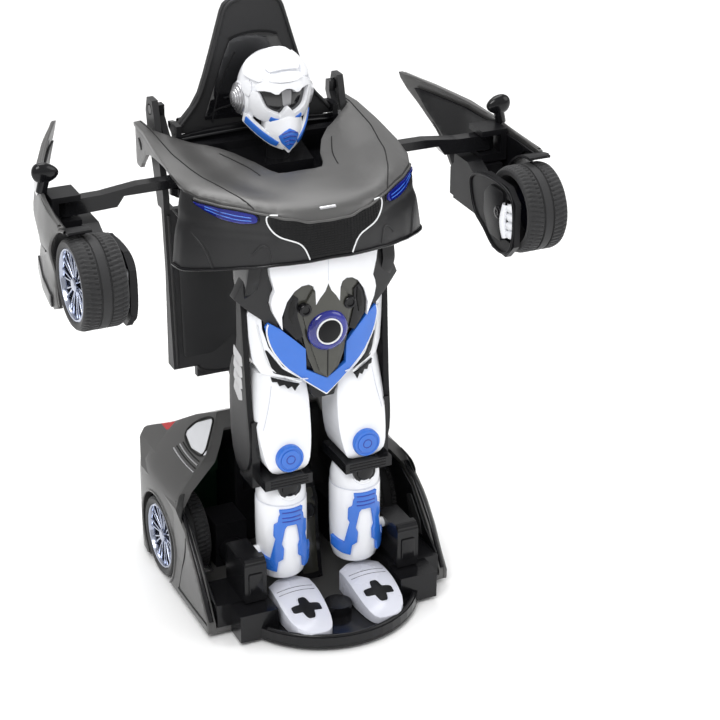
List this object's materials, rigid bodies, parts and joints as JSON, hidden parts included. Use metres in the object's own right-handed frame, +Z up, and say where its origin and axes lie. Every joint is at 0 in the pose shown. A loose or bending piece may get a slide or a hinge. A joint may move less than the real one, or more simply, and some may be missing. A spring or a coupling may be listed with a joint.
{
  "type": "transforming robot car",
  "caption": "Toy car that stands up on its rear half as a robot, with a hinged chest, fold-out arms carrying the doors and front wheels, and rolling tyres.",
  "frame": {"origin": "on the floor, under the middle of the robot's overall footprint", "axes": "+X to the robot's left, -Y the way it faces, +Z up"},
  "size_m": [0.281, 0.1803, 0.33],
  "materials": {
    "hood_grey": "satin dark grey paint on plastic",
    "fascia_black": "matte black plastic",
    "black_plastic": "semi-gloss black plastic",
    "white_plastic": "glossy white plastic",
    "foot_white": "glossy pale grey-white plastic",
    "blue_plastic": "glossy blue plastic",
    "blue_lens": "clear blue lens",
    "red_lens": "clear red lens",
    "dark_glass": "glossy black window",
    "abdomen_grey": "glossy olive-black plastic",
    "tyre_rubber": "matte rubber",
    "rim_chrome": "chromed spokes over blue-black",
    "steel": "bare steel",
    "silver_plastic": "silver painted plastic",
    "mesh_black": "fine black mesh",
    "board_green": "circuit board",
    "battery_wrap": "battery shrink wrap"
  },
  "bodies": {
    "base": {"base_shell": "hood_grey", "tail_lamps": "red_lens", "front_platform": "black_plastic", "centre_column": "black_plastic", "battery_pack": "battery_wrap", "control_board": "board_green", "speaker": "black_plastic", "base_screws": "steel", "ankle_clamps": "black_plastic", "ankle_pins": "white_plastic", "feet": "foot_white", "drive_units": "black_plastic"},
    "switch": {"power_switch": "black_plastic"},
    "caster": {"caster_roller": "black_plastic"},
    "legs": {"torso_core": "black_plastic", "abdomen": "abdomen_grey", "belly_ring": "blue_lens", "belly_disc": "dark_glass", "belt": "blue_plastic", "breastplate": "white_plastic", "torso_screws": "steel", "shins": "white_plastic", "shin_armour": "blue_plastic", "knee_brackets": "black_plastic", "thighs": "white_plastic", "knee_caps": "blue_plastic", "hip_plates": "white_plastic", "torso_sides": "black_plastic"},
    "chest": {"hood": "hood_grey", "bumper": "fascia_black", "headlamps": "blue_lens", "grille": "mesh_black", "chest_frame": "black_plastic"},
    "head": {"neck": "silver_plastic", "helmet": "white_plastic", "face_mask": "white_plastic", "jaw_guard": "blue_plastic", "ear_discs": "silver_plastic"},
    "roof": {"roof_panel": "fascia_black", "windscreen": "dark_glass"},
    "rear_link": {"rear_link": "fascia_black"},
    "rear_wheel_left": {"rear_wheel_left_rim": "rim_chrome", "rear_wheel_left_tyre": "tyre_rubber"},
    "front_wheel_left": {"front_wheel_left_rim": "rim_chrome", "front_wheel_left_tyre": "tyre_rubber"},
    "arm_left": {"arm_left": "black_plastic"},
    "door_left": {"door_left": "hood_grey", "wheel_carrier_left": "black_plastic", "hand_left": "white_plastic", "mirror_left": "black_plastic"},
    "rear_wheel_right": {"rear_wheel_right_rim": "rim_chrome", "rear_wheel_right_tyre": "tyre_rubber"},
    "front_wheel_right": {"front_wheel_right_rim": "rim_chrome", "front_wheel_right_tyre": "tyre_rubber"},
    "arm_right": {"arm_right": "black_plastic"},
    "door_right": {"door_right": "hood_grey", "wheel_carrier_right": "black_plastic", "hand_right": "white_plastic", "mirror_right": "black_plastic"}
  },
  "joints": [
    {"name": "transform", "type": "hinge", "parent": "base", "child": "legs", "pos_m": [0, -0.03, 0.04], "axis": [1, 0, 0], "range_deg": [0, 96]},
    {"name": "chest_level", "type": "hinge", "parent": "legs", "child": "chest", "pos_m": [0, -0.012, 0.235], "axis": [1, 0, 0], "range_deg": [-96, 0]},
    {"name": "rear_swing", "type": "hinge", "parent": "base", "child": "rear_link", "pos_m": [0, 0.05, 0.075], "axis": [1, 0, 0], "range_deg": [0, 96]},
    {"name": "roof_fold", "type": "hinge", "parent": "chest", "child": "roof", "pos_m": [0, 0.062, 0.262], "axis": [1, 0, 0], "range_deg": [-60, 0]},
    {"name": "head_turn", "type": "hinge", "parent": "chest", "child": "head", "pos_m": [0, 0.024, 0.25], "axis": [0, 0, 1], "range_deg": [-25, 25]},
    {"name": "arm_left_swing", "type": "hinge", "parent": "chest", "child": "arm_left", "pos_m": [0.06, 0.016, 0.247], "axis": [0, 0, 1], "range_deg": [0, 76.01]},
    {"name": "arm_right_swing", "type": "hinge", "parent": "chest", "child": "arm_right", "pos_m": [-0.06, 0.016, 0.247], "axis": [0, 0, 1], "range_deg": [-76.01, 0]},
    {"name": "door_left_swing", "type": "hinge", "parent": "arm_left", "child": "door_left", "pos_m": [0.123, 0.016, 0.243], "axis": [0, 0, 1], "range_deg": [-76.01, 0]},
    {"name": "door_right_swing", "type": "hinge", "parent": "arm_right", "child": "door_right", "pos_m": [-0.123, 0.016, 0.243], "axis": [0, 0, 1], "range_deg": [0, 76.01]},
    {"name": "rear_wheel_left_spin", "type": "hinge", "parent": "base", "child": "rear_wheel_left", "pos_m": [0.0615, 0.032, 0.0243], "axis": [1, 0, 0], "continuous": true},
    {"name": "front_wheel_left_spin", "type": "hinge", "parent": "door_left", "child": "front_wheel_left", "pos_m": [0.1256, -0.032, 0.22], "axis": [1, 0, 0], "continuous": true},
    {"name": "rear_wheel_right_spin", "type": "hinge", "parent": "base", "child": "rear_wheel_right", "pos_m": [-0.0615, 0.032, 0.0243], "axis": [1, 0, 0], "continuous": true},
    {"name": "front_wheel_right_spin", "type": "hinge", "parent": "door_right", "child": "front_wheel_right", "pos_m": [-0.1256, -0.032, 0.22], "axis": [1, 0, 0], "continuous": true},
    {"name": "caster_spin", "type": "hinge", "parent": "base", "child": "caster", "pos_m": [0, -0.057, 0.0047], "axis": [1, 0, 0], "continuous": true},
    {"name": "switch_slide", "type": "slide", "parent": "base", "child": "switch", "axis": [1, 0, 0], "range_m": [-0.0025, 0.0025]}
  ],
  "couplings": [
    {"joint": "chest_level", "follows": "transform", "ratio": -1},
    {"joint": "rear_swing", "follows": "transform", "ratio": 1},
    {"joint": "roof_fold", "follows": "transform", "ratio": -0.625},
    {"joint": "arm_left_swing", "follows": "transform", "ratio": 0.79167},
    {"joint": "arm_right_swing", "follows": "transform", "ratio": -0.79167},
    {"joint": "door_left_swing", "follows": "transform", "ratio": -0.79167},
    {"joint": "door_right_swing", "follows": "transform", "ratio": 0.79167}
  ]
}
